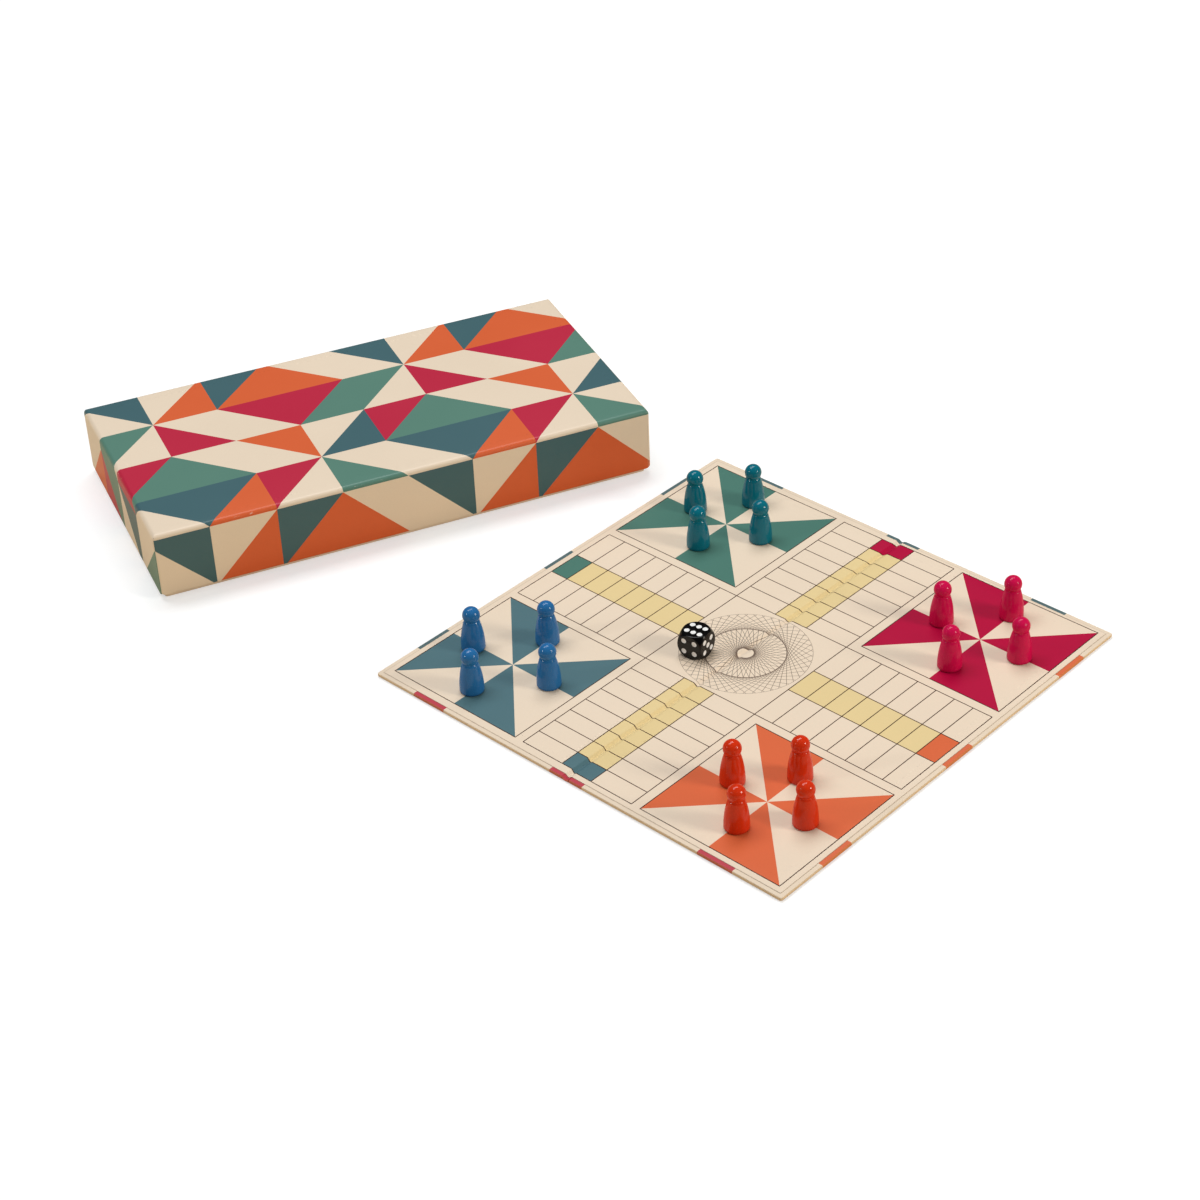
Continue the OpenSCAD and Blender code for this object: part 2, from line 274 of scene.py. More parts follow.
def side_marks(side):
    """Shares of a side at which points stand: a few near each end, at set distances, and even ones between."""
    between = np.linspace(NEAR_CORNER[-1], side - NEAR_CORNER[-1], BETWEEN + 2)[1:-1]
    return np.concatenate([NEAR_CORNER, between, side - NEAR_CORNER[::-1]]) / side


def rim(half, radius, insets, bend_steps):
    """Rounded rectangles, one for each inset, as insets x points x 2, with the way each point faces in degrees.

    An inset rectangle has its half sides and its corner radius less by the inset, and the radius keeps a least size.
    Each of the four corners is a quarter circle, and each side runs straight on to the next corner through its marks.
    """
    r = np.maximum(radius - insets, LEAST_RADIUS)
    turn = np.linspace(0, 90, bend_steps + 1)
    facing = turn[None] + 90 * np.arange(4)[:, None]
    sign = np.array([[1, 1], [-1, 1], [-1, -1], [1, -1]])
    middle = np.stack([half[0] - insets - r, half[1] - insets - r], 1)[:, None] * sign[None]
    way = np.radians(facing)
    bends = middle[:, :, None] + r[:, None, None, None] * np.stack([np.cos(way), np.sin(way)], -1)[None]
    last, following = bends[:, :, -1], np.roll(bends[:, :, 0], -1, axis=1)
    marks = np.stack([side_marks(2 * (half[k] - radius)) for k in (1, 0, 1, 0)])
    sides = last[:, :, None] + marks[None, :, :, None] * (following - last)[:, :, None]
    ring = np.concatenate([bends, sides], 2)
    faces_way = np.concatenate([facing, np.repeat(facing[:, -1:], marks.shape[1], 1)], 1)
    return ring.reshape(len(insets), -1, 2), faces_way.ravel()


def outward(points, quads, rows, columns):
    """The quads between rings of points, and the rings' two flat ends, all turned to face out."""
    first, last = np.arange(columns), np.arange(columns) + (rows - 1) * columns
    if swept_volume(points, quads) < 0:
        return quads[:, ::-1], [first, last[::-1]]
    return quads, [first[::-1], last]


def lathe(section, steps):
    """Rings of points round the upright axis: (radius cos, radius sin, height) for each point of the section."""
    around = np.radians(np.linspace(0, 360, steps + 1)[:-1])
    radius, height = section[:, 0, None], section[:, 1, None]
    flat = np.broadcast_to(height, (len(section), steps))
    return np.stack([radius * np.cos(around), radius * np.sin(around), flat], -1)


# How far the section of a wrap or a sheet runs in from the edge, and where a lid's wall has points above its lip.
REACH = 9 * MM
WALL_MARKS = np.array([16, 10, 6, 4, 2.5, 1.6, 1.0]) * MM
LIP_FADE = 14 * MM


def lipped_profile(top, lip, fold, case):
    """The wrap's section as (inset, height) points: the outer skin, then the inner skin back to the start.

    The outer skin runs from the top's flat, round the soft edge, down the wall, round the lip and up inside it.
    The inner skin follows it at the paper's thickness.
    """
    edge, wall, paper = case.edge, case.wall, case.paper
    inside = wall + paper
    upper = arc((edge, top - edge), edge, 90, 180, 9)
    down = np.stack([0 * WALL_MARKS, lip + WALL_MARKS], 1)
    turn = arc((fold, lip + fold), fold, 180, 270, 4)
    back = arc((inside - fold, lip + fold), fold, 270, 360, 4)
    skin = np.concatenate([[[REACH, top]], upper, down, turn, back, [[inside, lip + case.turn_in]]])
    rise = np.array([[wall, lip + case.turn_in], [wall, lip + paper], [paper, lip + paper]])
    round_in = arc((edge, top - edge), edge - paper, 180, 90, 9)
    return np.concatenate([skin, rise, round_in, [[REACH, top - paper]]]), len(skin)


def wrapped_case(name, profile, half, corner, foot, lip, edge, closed):
    """A section carried round a rounded rectangle: point = rim(inset) at the section's height.

    Near each corner the lip rises by foot - sqrt(foot^2 - (foot - m)^2), where m is the larger distance from the two
    walls, and the rise fades up the wall. The UVs are the flat sheet: on the top they are x and y, and past an edge
    they run on by the length of the section.
    """
    ring, facing = rim(half, corner, profile[:, 0], 8)
    rows, columns = ring.shape[:2]
    m = np.maximum(half[0] - np.abs(ring[..., 0]), half[1] - np.abs(ring[..., 1]))
    m = np.clip(m, 0, foot) if foot else m
    rise = foot - np.sqrt(np.maximum(foot**2 - (foot - m) ** 2, 0)) if foot else 0 * m
    fade = np.clip(1 - (profile[:, 1] - lip) / LIP_FADE, 0, 1) ** 2
    lift = rise * fade[:, None]
    points = np.concatenate([ring, (profile[:, 1, None] + lift)[..., None]], -1).reshape(-1, 3)
    quads, caps = outward(points, grid_faces(rows, columns, closed, True), rows, columns)
    run = np.concatenate([[0], np.cumsum(np.hypot(*np.diff(profile, axis=0).T))])
    start = run[np.argmin(np.abs(profile[:, 0] - edge) + np.abs(profile[:, 1] - profile[:, 1].max()))]
    run = (run - start)[:, None] - lift
    j = quads[:, 0] % columns
    spread = (np.roll(facing, -1) - facing + 180) % 360 - 180
    side = (np.round((facing[j] + spread[j] / 2) / 90).astype(int) % 4)[:, None]
    flat_x = np.broadcast_to(ring[..., 0], run.shape).ravel()[quads]
    flat_y = np.broadcast_to(ring[..., 1], run.shape).ravel()[quads]
    out = run.ravel()[quads]
    u = np.choose(side, [half[0] - edge + out, flat_x, -(half[0] - edge) - out, flat_x])
    v = np.choose(side, [flat_y, half[1] - edge + out, flat_y, -(half[1] - edge) - out])
    caps = [] if closed else caps
    piece = new_piece(name, points, quads, caps, np.stack([u, v], -1), [points[c, :2] for c in caps])
    along = np.concatenate([[0], np.cumsum(np.hypot(*np.diff(ring[rows // 4], axis=0).T))])
    seams = np.nonzero((facing % 90 == 0) & (np.roll(facing, -1) != facing))[0]
    gap = np.abs(along[:, None] - along[seams][None]).min(1)
    note(piece, "seam", np.broadcast_to(gap, (rows, columns)))
    return piece


def tube(name, rings, uv=None, smooth=35):
    """Rings of points joined one to the next, with flat ends. A ring's points follow each other round it."""
    rows, columns = rings.shape[:2]
    points = rings.reshape(-1, 3)
    quads, caps = outward(points, grid_faces(rows, columns, False, True), rows, columns)
    if uv is None:
        return new_piece(name, points, quads, caps, smooth=smooth)
    flat = uv.reshape(-1, 2)
    return new_piece(name, points, quads, caps, flat[quads], [flat[c] for c in caps], smooth)


# ---- Nodes ----


class Wires:
    """Places nodes in a tree and joins them. A number, a colour or another node's socket may stand for any input."""

    # The colour mix node's inputs for its share and its two colours.
    MIX_INPUTS = (0, 6, 7)

    def __init__(self, tree):
        self.tree = tree

    def put(self, kind, inputs=(), **settings):
        node = self.tree.nodes.new(kind)
        for key, value in settings.items():
            setattr(node, key, value)
        for key, value in dict(inputs).items():
            self.join(value, node.inputs[key])
        return node

    def join(self, value, socket):
        if isinstance(value, bpy.types.NodeSocket):
            self.tree.links.new(value, socket)
        elif isinstance(value, (tuple, list)) and len(value) == 3 and socket.type == "RGBA":
            socket.default_value = (*value, 1)
        else:
            socket.default_value = value

    def sum(self, operation, a, b=0.0):
        return self.put("ShaderNodeMath", {0: a, 1: b}, operation=operation).outputs[0]

    def blend(self, share, a, b, mode="MIX"):
        node = self.put("ShaderNodeMix", data_type="RGBA", blend_type=mode)
        for number, value in zip(self.MIX_INPUTS, (share, a, b)):
            self.join(value, node.inputs[number])
        return node.outputs[2]

    def pick(self, which, low, high):
        """One of four colours: low and high are each a mask and the colours where the mask is 0 and 1."""
        return self.blend(which, self.blend(*low), self.blend(*high))

    def noise(self, place, scale, detail=2.0, rough=0.5):
        inputs = {"Vector": place, "Scale": scale, "Detail": detail, "Roughness": rough}
        return self.put("ShaderNodeTexNoise", inputs).outputs["Fac"]

    def stretch(self, place, scale):
        return self.put("ShaderNodeMapping", {"Vector": place, "Scale": scale}).outputs[0]

    def ramp(self, value, low, high, to_low=0.0, to_high=1.0):
        inputs = {"Value": value, "From Min": low, "From Max": high, "To Min": to_low, "To Max": to_high}
        return self.put("ShaderNodeMapRange", inputs, clamp=True).outputs[0]

    # Sums that say what they are.
    def times(self, *values):
        found = values[0]
        for value in values[1:]:
            found = self.sum("MULTIPLY", found, value)
        return found

    def plus(self, a, b):
        return self.sum("ADD", a, b)

    def less(self, a, b):
        return self.sum("SUBTRACT", a, b)

    def over(self, a, b):
        return self.sum("GREATER_THAN", a, b)

    def under(self, a, b):
        return self.sum("LESS_THAN", a, b)

    def size(self, a):
        return self.sum("ABSOLUTE", a)

    def either(self, a, b):
        return self.sum("MAXIMUM", a, b)

    def same(self, a, b):
        return self.less(1.0, self.size(self.less(a, b)))

    def within(self, value, low, high):
        return self.times(self.over(value, low), self.under(value, high))


def group(name, inputs, fill):
    """A shader node group, made once. Fill gets its wires and inputs and returns its outputs by name.

    Inputs gives each input's default: nothing for a place, three numbers for a colour, or one for a value.
    """
    made = bpy.data.node_groups.get(name)
    if made:
        return made
    made = bpy.data.node_groups.new(name, "ShaderNodeTree")
    for socket, default in inputs.items():
        kind = "Vector" if default is None else "Color" if isinstance(default, tuple) else "Float"
        new = made.interface.new_socket(socket, in_out="INPUT", socket_type="NodeSocket" + kind)
        if default is not None:
            new.default_value = (*default, 1) if kind == "Color" else default
    wires, entry, leave = Wires(made), made.nodes.new("NodeGroupInput"), made.nodes.new("NodeGroupOutput")
    for socket, value in fill(wires, entry.outputs).items():
        kind = "Color" if value.type == "RGBA" else "Float"
        made.interface.new_socket(socket, in_out="OUTPUT", socket_type="NodeSocket" + kind)
        wires.join(value, leave.inputs[socket])
    return made


def ink_inputs(inks, names):
    """A group's inputs for these inks."""
    return {name.title(): tuple(getattr(inks, name)) for name in names}


def use(wires, made, **values):
    """Puts a group in a tree, with an input named by its words joined by underscores."""
    node = wires.put("ShaderNodeGroup", node_tree=made)
    for key, value in values.items():
        wires.join(value, node.inputs[key.replace("_", " ").title()])
    return node.outputs


def split(wires, vector):
    return tuple(wires.put("ShaderNodeSeparateXYZ", {"Vector": vector}).outputs)


def eighths(w, x, y):
    """Mask of a pinwheel: every other eighth of a square, cut by its axes and diagonals."""
    same_sign = w.over(w.times(x, y), 0.0)
    wide = w.over(w.size(x), w.size(y))
    return w.same(same_sign, wide)


def quilt_group(inks):
    """A quilt of two kinds of block, laid as a chequer: pinwheels, and squares on their points."""

    def fill(w, sockets):
        cream, crimson, teal, green, orange = (sockets[name.title()] for name in INKS)
        x, y, _ = split(w, sockets["Place"])
        x, y = w.sum("DIVIDE", x, sockets["Block"]), w.sum("DIVIDE", y, sockets["Block"])
        column, row = w.sum("FLOOR", x), w.sum("FLOOR", y)
        x, y = w.less(w.less(x, column), 0.5), w.less(w.less(y, row), 0.5)
        odd = w.sum("FLOORED_MODULO", w.plus(column, row), 2.0)
        odd_row = w.sum("FLOORED_MODULO", row, 2.0)
        right, upper = w.over(x, 0.0), w.over(y, 0.0)
        warm, warm_turned = (upper, crimson, orange), (upper, orange, crimson)
        cool, cool_turned = (upper, green, teal), (upper, teal, green)
        blades = w.pick(w.same(right, odd_row), warm, cool)
        pinwheel = w.blend(eighths(w, x, y), cream, blades)
        inner = w.under(w.plus(w.size(x), w.size(y)), 0.5)
        centre = w.pick(odd_row, warm, cool_turned)
        corners = w.blend(w.same(right, upper), w.pick(odd_row, cool, warm_turned), cream)
        return {"Color": w.blend(odd, pinwheel, w.blend(inner, corners, centre))}

    inputs = {"Place": None, "Block": 0.05, **ink_inputs(inks, INKS)}
    return group("quilt_print", inputs, fill)


# The rosette's strings: their width, and how many there are outside and inside its middle ring.
STRING_WIDTH = 0.27 * MM
OUTER_STRINGS, INNER_STRINGS = 46, 44


def rosette_lines(w, radius, angle, inner, outer, count):
    """Lines drawn tangent to an inner circle and cut off at an outer one, in both turning senses.

    A point at radius r and angle f is on the line whose foot is at f - acos(inner / r) or f + acos(inner / r), and its
    distance from the nearest line is that angle's distance from a whole step times sqrt(r^2 - inner^2).
    """
    lean = w.sum("ARCCOSINE", w.sum("MINIMUM", w.sum("DIVIDE", inner, radius), 1.0))
    reach = w.sum("SQRT", w.either(w.less(w.times(radius, radius), inner * inner), 0.0))
    step = 2 * math.pi / count
    found = None
    for turned in (w.plus(angle, lean), w.less(angle, lean)):
        share = w.sum("PINGPONG", w.plus(turned, 4 * math.pi), step / 2)
        near = w.under(w.times(share, reach), STRING_WIDTH / 2)
        found = near if found is None else w.either(found, near)
    return w.times(found, w.over(radius, inner), w.under(radius, outer))


def layout_group(inks, board):
    """The board's print: a cross of cells, home lanes, four yards with pinwheels, and a rosette of straight lines."""

    def fill(w, sockets):
        a, b, _ = split(w, sockets["Place"])
        size_a, size_b = w.size(a), w.size(b)
        along, across = w.either(size_a, size_b), w.sum("MINIMUM", size_a, size_b)
        half = board.line / 2
        arm, lane, end = board.arm, board.lane, board.track
        cell = (end - arm) / board.cells
        on_arm = w.times(w.over(along, arm), w.under(along, end), w.under(across, arm))
        home = w.times(on_arm, w.under(across, lane))
        last = w.times(home, w.over(along, end - cell))
        wide = w.over(size_a, size_b)
        right, upper = w.over(a, 0.0), w.over(b, 0.0)
        cream, crimson, teal, green, orange = (sockets[name.title()] for name in INKS)
        arm_ink = w.pick(wide, (upper, teal, crimson), (right, green, orange))
        yard_ink = w.pick(right, (upper, teal, green), (upper, orange, crimson))
        yard_a, yard_b = w.less(size_a, board.yard_place), w.less(size_b, board.yard_place)
        yard_size = w.either(w.size(yard_a), w.size(yard_b))
        signed_a = w.times(yard_a, w.sum("SIGN", a))
        signed_b = w.times(yard_b, w.sum("SIGN", b))
        pinwheel = w.times(w.under(yard_size, board.yard / 2), eighths(w, signed_a, signed_b))
        colour = w.blend(home, cream, sockets["Yellow"])
        colour = w.blend(last, colour, arm_ink)
        colour = w.blend(pinwheel, colour, yard_ink)
        near_arm = w.times(w.under(across, arm + half), w.over(along, arm - half), w.under(along, end + half))
        cell_place = w.sum("PINGPONG", w.less(along, arm - 40 * cell), cell / 2)
        lines = w.times(near_arm, w.under(cell_place, half))
        for place in (lane, arm):
            lines = w.either(lines, w.times(near_arm, w.under(w.size(w.less(across, place)), half)))
        lines = w.either(lines, w.under(w.size(w.less(yard_size, board.yard / 2)), half))
        colour = w.blend(lines, colour, sockets["Line"])
        radius = w.sum("SQRT", w.plus(w.times(a, a), w.times(b, b)))
        angle = w.sum("ARCTAN2", b, a)
        web = w.either(
            rosette_lines(w, radius, angle, board.ring, board.rosette, OUTER_STRINGS),
            rosette_lines(w, radius, angle, board.eye, board.ring, INNER_STRINGS),
        )
        for circle, width in ((board.ring, 0.5 * MM), (board.eye, 0.6 * MM), (board.rosette, 0.2 * MM)):
            web = w.either(web, w.under(w.size(w.less(radius, circle)), width / 2))
        return {"Color": w.blend(w.times(web, 0.84), colour, sockets["Line"])}

    inputs = {"Place": None, **ink_inputs(inks, (*INKS, "yellow", "line"))}
    return group("ludo_layout", inputs, fill)


def paper_group():
    """Laminated print on paper: fine fibres and a slow unevenness, as a tone, a roughness and a height."""

    def fill(w, sockets):
        place = sockets["Place"]
        fine = w.noise(place, 2600.0, 3.0, 0.6)
        fibre = w.noise(w.stretch(place, (1.0, 0.35, 1.0)), 1500.0, 2.0, 0.6)
        slow = w.noise(place, 14.0, 3.0, 0.5)
        grain = w.less(w.plus(w.times(fine, 0.6), w.times(fibre, 0.4)), 0.5)
        uneven = w.times(w.less(slow, 0.5), sockets["Unevenness"])
        tone = w.plus(1.0, w.plus(w.times(grain, sockets["Grain"]), uneven))
        rough = w.plus(sockets["Roughness"], w.times(w.less(slow, 0.5), 0.16))
        height = w.plus(w.times(grain, 0.35), w.times(slow, 6.0))
        return {"Tone": tone, "Gloss": w.plus(rough, w.times(grain, 0.12)), "Height": height}

    return group("paper_surface", {"Place": None, "Grain": 0.12, "Unevenness": 0.1, "Roughness": 0.45}, fill)


def board_fibre_group():
    """Pulp board or card: short flecks of darker and lighter fibre over a cloudy ground."""

    def fill(w, sockets):
        place = sockets["Place"]
        cloud = w.noise(place, 90.0, 4.0, 0.6)
        fleck = w.ramp(w.noise(w.stretch(place, (1.0, 0.25, 0.6)), 1900.0, 2.0, 0.7), 0.6, 0.75)
        pale = w.ramp(w.noise(w.stretch(place, (0.3, 1.0, 0.8)), 1500.0, 2.0, 0.7), 0.62, 0.78)
        tone = w.plus(1.0, w.times(w.less(cloud, 0.5), sockets["Cloud"]))
        tone = w.less(tone, w.times(fleck, sockets["Fleck"]))
        tone = w.plus(tone, w.times(pale, w.times(sockets["Fleck"], 0.6)))
        return {"Tone": tone, "Height": w.plus(w.times(cloud, 0.8), w.times(fleck, 0.2))}

    return group("board_fibre", {"Place": None, "Cloud": 0.2, "Fleck": 0.2}, fill)


def turned_paint_group():
    """Paint over turned wood: faint upright grain, lathe rings, brush dabs and specks of dust under the film."""

    def fill(w, sockets):
        place = sockets["Place"]
        grain = w.noise(w.stretch(place, (1.0, 1.0, 0.12)), 1700.0, 3.0, 0.6)
        ring = w.noise(w.stretch(place, (0.02, 0.02, 1.0)), 900.0, 2.0, 0.5)
        peel = w.noise(place, 700.0, 2.0, 0.5)
        dust = w.ramp(w.noise(place, 3600.0, 1.0, 0.5), 0.7, 0.78)
        tone = w.plus(1.0, w.times(w.less(grain, 0.5), sockets["Grain"]))
        tone = w.plus(tone, w.times(w.less(peel, 0.5), w.times(sockets["Grain"], 0.8)))
        height = w.plus(w.times(ring, 0.35), w.plus(w.times(peel, 0.8), w.times(dust, 0.5)))
        height = w.plus(w.times(grain, 0.5), height)
        return {"Tone": tone, "Height": height, "Dust": dust}

    return group("turned_paint", {"Place": None, "Grain": 0.2}, fill)


def rub_group():
    """Where hands and shelves rub a wrapped edge: a mask from the edge's own mask, broken up by noise."""

    def fill(w, sockets):
        patch = w.noise(sockets["Place"], 120.0, 4.0, 0.65)
        fine = w.noise(sockets["Place"], 1400.0, 2.0, 0.6)
        broken = w.plus(w.times(patch, 0.7), w.times(fine, 0.3))
        reach = w.less(w.plus(broken, w.times(sockets["Edge"], sockets["Amount"])), 1.0)
        return {"Rub": w.ramp(reach, 0.0, 0.12)}

    return group("edge_rub", {"Place": None, "Edge": 0.0, "Amount": 0.4}, fill)


# ---- Materials ----


def new_material(name, specular, coat=0.0, coat_roughness=0.03):
    """A material with its wires, its Principled shader and the object's own place, which patterns read."""
    made = bpy.data.materials.new(name)
    made.use_nodes = True
    shader = next(n for n in made.node_tree.nodes if n.type == "BSDF_PRINCIPLED")
    shader.inputs["Specular IOR Level"].default_value = specular
    shader.inputs["Coat Weight"].default_value = coat
    shader.inputs["Coat Roughness"].default_value = coat_roughness
    wires = Wires(made.node_tree)
    return made, wires, shader, wires.put("ShaderNodeTexCoord").outputs["Object"]


def toned(wires, colour, tone):
    """The colour times the tone, as a grey that multiplies it."""
    grey = wires.put("ShaderNodeCombineColor", {"Red": tone, "Green": tone, "Blue": tone}).outputs[0]
    return wires.blend(1.0, colour, grey, "MULTIPLY")


def bump(wires, shader, height, distance, strength=1.0):
    node = wires.put("ShaderNodeBump", {"Strength": strength, "Distance": distance, "Height": height})
    wires.join(node.outputs[0], shader.inputs["Normal"])


def printed_paper(name, colour_of, grain=0.14, unevenness=0.07, roughness=0.46, rub=None, gloss=0.35):
    """Matt laminated print. Colour_of draws the print from the sheet's own UVs."""
    made, w, shader, place = new_material(name, gloss, 0.3 * gloss, 0.22)
    flat = w.put("ShaderNodeUVMap", uv_map="Sheet").outputs["UV"]
    paper = use(w, paper_group(), place=place, grain=grain, unevenness=unevenness, roughness=roughness)
    colour = toned(w, colour_of(w, flat), paper["Tone"])
    if rub:
        edge = w.put("ShaderNodeAttribute", attribute_name="edge").outputs["Fac"]
        mask = use(w, rub_group(), place=place, edge=edge, amount=rub)["Rub"]
        colour = w.blend(w.times(mask, 0.55), colour, linear(238, 228, 212))
    w.join(colour, shader.inputs["Base Color"])
    w.join(paper["Gloss"], shader.inputs["Roughness"])
    bump(w, shader, paper["Height"], 0.02 * MM, 0.6)
    return made


def lid_print(inks, case):
    """The lid's wrap: the quilt pattern, with the paper's cut edge showing as a dark line at each upright corner and a
    pale band of painted highlight beside it.
    """

    def colour_of(w, flat):
        quilt = use(w, quilt_group(inks), place=flat, block=case.block)["Color"]
        seam = w.put("ShaderNodeAttribute", attribute_name="seam").outputs["Fac"]
        height = split(w, w.put("ShaderNodeTexCoord").outputs["Object"])[2]
        upright = w.under(height, LID_HIGH.z - case.edge)
        cut = w.times(upright, w.under(seam, 0.1 * MM))
        # Beside each corner's seam the paper is made paler: a painted highlight.
        pale = w.times(upright, w.within(seam, 0.1 * MM, 0.4 * MM))
        quilt = w.blend(w.times(pale, 0.22), quilt, linear(232, 220, 202))
        return w.blend(w.times(cut, 0.4), quilt, linear(96, 78, 66))

    return printed_paper("lid_quilt_print", colour_of, 0.12, 0.08, 0.44, rub=0.42)


# How much the pasted sheet is stretched along the fold on each half, as a share of the way from the middle.
PULL_LEFT, PULL_RIGHT = 0.0098, 0.0105


def board_print(inks, board):
    """The board's printed sheet, with a soft dark line of painted shade at its cut edge.

    Pasting has pulled the sheet a little along the fold, not alike on the two halves: on the left by a share of the
    way from the middle towards the near end, on the right towards the far end, and it changes over in the groove.
    """

    def colour_of(w, flat):
        own = {name: tuple(getattr(inks, "board_" + name)) for name in INKS}
        a, b, _ = split(w, flat)
        left = w.less(w.times(w.either(w.less(0.0, b), 0.0), PULL_LEFT), w.ramp(b, 0.0, 40 * MM, 0.0, 0.5 * MM))
        right = w.times(w.either(b, 0.0), PULL_RIGHT)
        share = w.ramp(a, -board.groove_left, board.groove_right)
        pull = w.plus(w.times(left, w.less(1.0, share)), w.times(right, share))
        pulled = w.put("ShaderNodeCombineXYZ", {"X": a, "Y": w.less(b, pull)}).outputs[0]
        colour = use(w, layout_group(inks, board), place=pulled, **own)["Color"]
        # The sheet's cut edge is darkened: painted shade where its thin edge stands on the backing.
        out = w.either(w.size(a), w.size(b))
        cut = w.ramp(out, BOARD_HALF - board.margin - 0.25 * MM, BOARD_HALF - board.margin - 0.05 * MM)
        return w.blend(w.times(cut, 0.3), colour, linear(128, 106, 86))

    return printed_paper("board_layout_print", colour_of, 0.12, 0.06, 0.43, gloss=0.14)


# How far the dashes on the right, left and near edges stand off their even places.
SLIP_RIGHT, SLIP_LEFT, SLIP_NEAR = 2 * MM, 0.6 * MM, -1.3 * MM


def board_backing(inks, board, case):
    """The board's backing: cream with coloured dashes round the edge, painted shade beside the printed sheet's edge and
    over the board's outer edge, and the quilt pattern underneath.
    """

    def colour_of(w, flat):
        a, b, _ = split(w, flat)
        below = w.over(a, 0.5)
        a = w.less(a, below)
        size_a, size_b = w.size(a), w.size(b)
        wide = w.over(size_a, size_b)
        along = w.plus(w.times(wide, b), w.times(w.less(1.0, wide), a))
        slip = w.plus(w.times(wide, w.over(a, 0.0), SLIP_RIGHT), w.times(wide, w.under(a, 0.0), SLIP_LEFT))
        slip = w.plus(slip, w.times(w.less(1.0, wide), w.under(b, 0.0), SLIP_NEAR))
        along = w.less(along, slip)
        near = w.sum("PINGPONG", w.plus(along, 10 * board.dash_pitch), board.dash_pitch / 2)
        dash = w.times(w.under(near, board.dash / 2), w.under(w.size(along), 1.45 * board.dash_pitch))
        crimson, teal, orange = tuple(inks.crimson), tuple(inks.teal), tuple(inks.orange)
        ink = w.pick(wide, (w.over(b, 0.0), crimson, teal), (w.over(a, 0.0), teal, orange))
        top = w.blend(w.times(dash, 0.94), tuple(inks.cream), ink)
        out = w.either(size_a, size_b)
        # A thin dark band just beyond the printed sheet's edge is painted shade along the step that the sheet makes.
        groove = w.times(w.under(out, BOARD_HALF - board.margin + 0.35 * MM), 0.35)
        top = w.blend(groove, top, linear(126, 104, 84))
        # The board's outer edge is tinted a darker brown: painted shade on its edge faces.
        side = w.ramp(out, BOARD_HALF - 0.5 * MM, BOARD_HALF - 0.1 * MM)
        top = w.blend(w.times(side, 0.35), top, linear(200, 155, 80))
        joined = w.put("ShaderNodeCombineXYZ", {"X": a, "Y": b}).outputs[0]
        quilt = use(w, quilt_group(inks), place=joined, block=case.block)["Color"]
        inner = w.under(out, BOARD_HALF - 8 * MM)
        under = w.blend(inner, top, quilt)
        return w.blend(below, top, under)

    return printed_paper("board_backing_print", colour_of, 0.13, 0.08, 0.5, gloss=0.2)


def pulp(name, colour, cloud=0.2, fleck=0.22, roughness=0.9, depth=0.04):
    """Uncoated board, card or lining paper, from the object's own place."""
    made, w, shader, place = new_material(name, 0.25)
    fibre = use(w, board_fibre_group(), place=place, cloud=cloud, fleck=fleck)
    w.join(toned(w, tuple(colour), fibre["Tone"]), shader.inputs["Base Color"])
    rough = w.plus(roughness, w.times(w.less(fibre["Tone"], 1.0), 0.2))
    w.join(rough, shader.inputs["Roughness"])
    bump(w, shader, fibre["Height"], depth * MM, 0.8)
    return made


def pawn_paint(name, colour, roughness, coat):
    """Paint on a turned pawn, with specks of dust, made darker towards its foot: painted shade where it stands on the
    board.
    """
    made, w, shader, place = new_material(name, 0.03, coat, 0.1)
    paint = use(w, turned_paint_group(), place=place, grain=0.2)
    _, _, height = split(w, place)
    # Darker towards the foot: painted shade near where the pawn stands on the board.
    foot = w.ramp(height, PRINT_HIGH.z + 0.3 * MM, PRINT_HIGH.z + 2.2 * MM, 0.72, 1.0)
    shaded = toned(w, tuple(colour), w.times(paint["Tone"], foot))
    w.join(w.blend(w.times(paint["Dust"], 0.3), shaded, linear(206, 196, 184)), shader.inputs["Base Color"])
    rough = w.plus(roughness, w.times(w.less(paint["Tone"], 1.0), 0.5))
    w.join(rough, shader.inputs["Roughness"])
    bump(w, shader, paint["Height"], 0.025 * MM, 0.7)
    return made


def die_plastic(name, colour, roughness, coat):
    """Cast and tumbled plastic, with faint handling marks."""
    made, w, shader, place = new_material(name, 0.03, coat, 0.06)
    smear = w.noise(w.stretch(place, (1.0, 0.4, 1.0)), 420.0, 4.0, 0.6)
    fine = w.noise(place, 2400.0, 2.0, 0.6)
    w.join(toned(w, tuple(colour), w.plus(0.94, w.times(smear, 0.12))), shader.inputs["Base Color"])
    rough = w.plus(roughness - 0.05, w.plus(w.times(smear, 0.12), w.times(fine, 0.04)))
    w.join(rough, shader.inputs["Roughness"])
    bump(w, shader, w.plus(w.times(fine, 0.4), smear), 0.006 * MM, 0.6)
    return made


def clad(piece, material):
    """Gives a piece, or a node of the frame, one material."""
    piece.data.materials.clear()
    piece.data.materials.append(material)


def groove_depth(across, along, board):
    """Depth of the groove at the fold: a raised cosine across it, less two low ridges, with small waves along it."""
    deepest = (board.groove_right - board.groove_left) / 2 - 0.1 * MM
    off = across - deepest
    wide, narrow = deepest + board.groove_left, board.groove_right - deepest
    t = np.clip(np.where(off < 0, -off / wide, off / narrow), 0, 1)
    bowl = 0.5 + 0.5 * np.cos(np.pi * t)
    wave = 0.06 * np.sin(along * 190) + 0.05 * np.sin(along * 613 + 1.3) + 0.03 * np.sin(along * 1411)
    low = np.exp(-(((off + 0.9 * MM) / (0.3 * MM)) ** 2))
    high = np.exp(-(((off - 0.8 * MM) / (0.34 * MM)) ** 2))
    return board.dip * (bowl * (1 + wave * 0.6) - (0.07 * low + 0.11 * high) * (1 + 3 * wave)) * 0.97


# ---- Operators ----


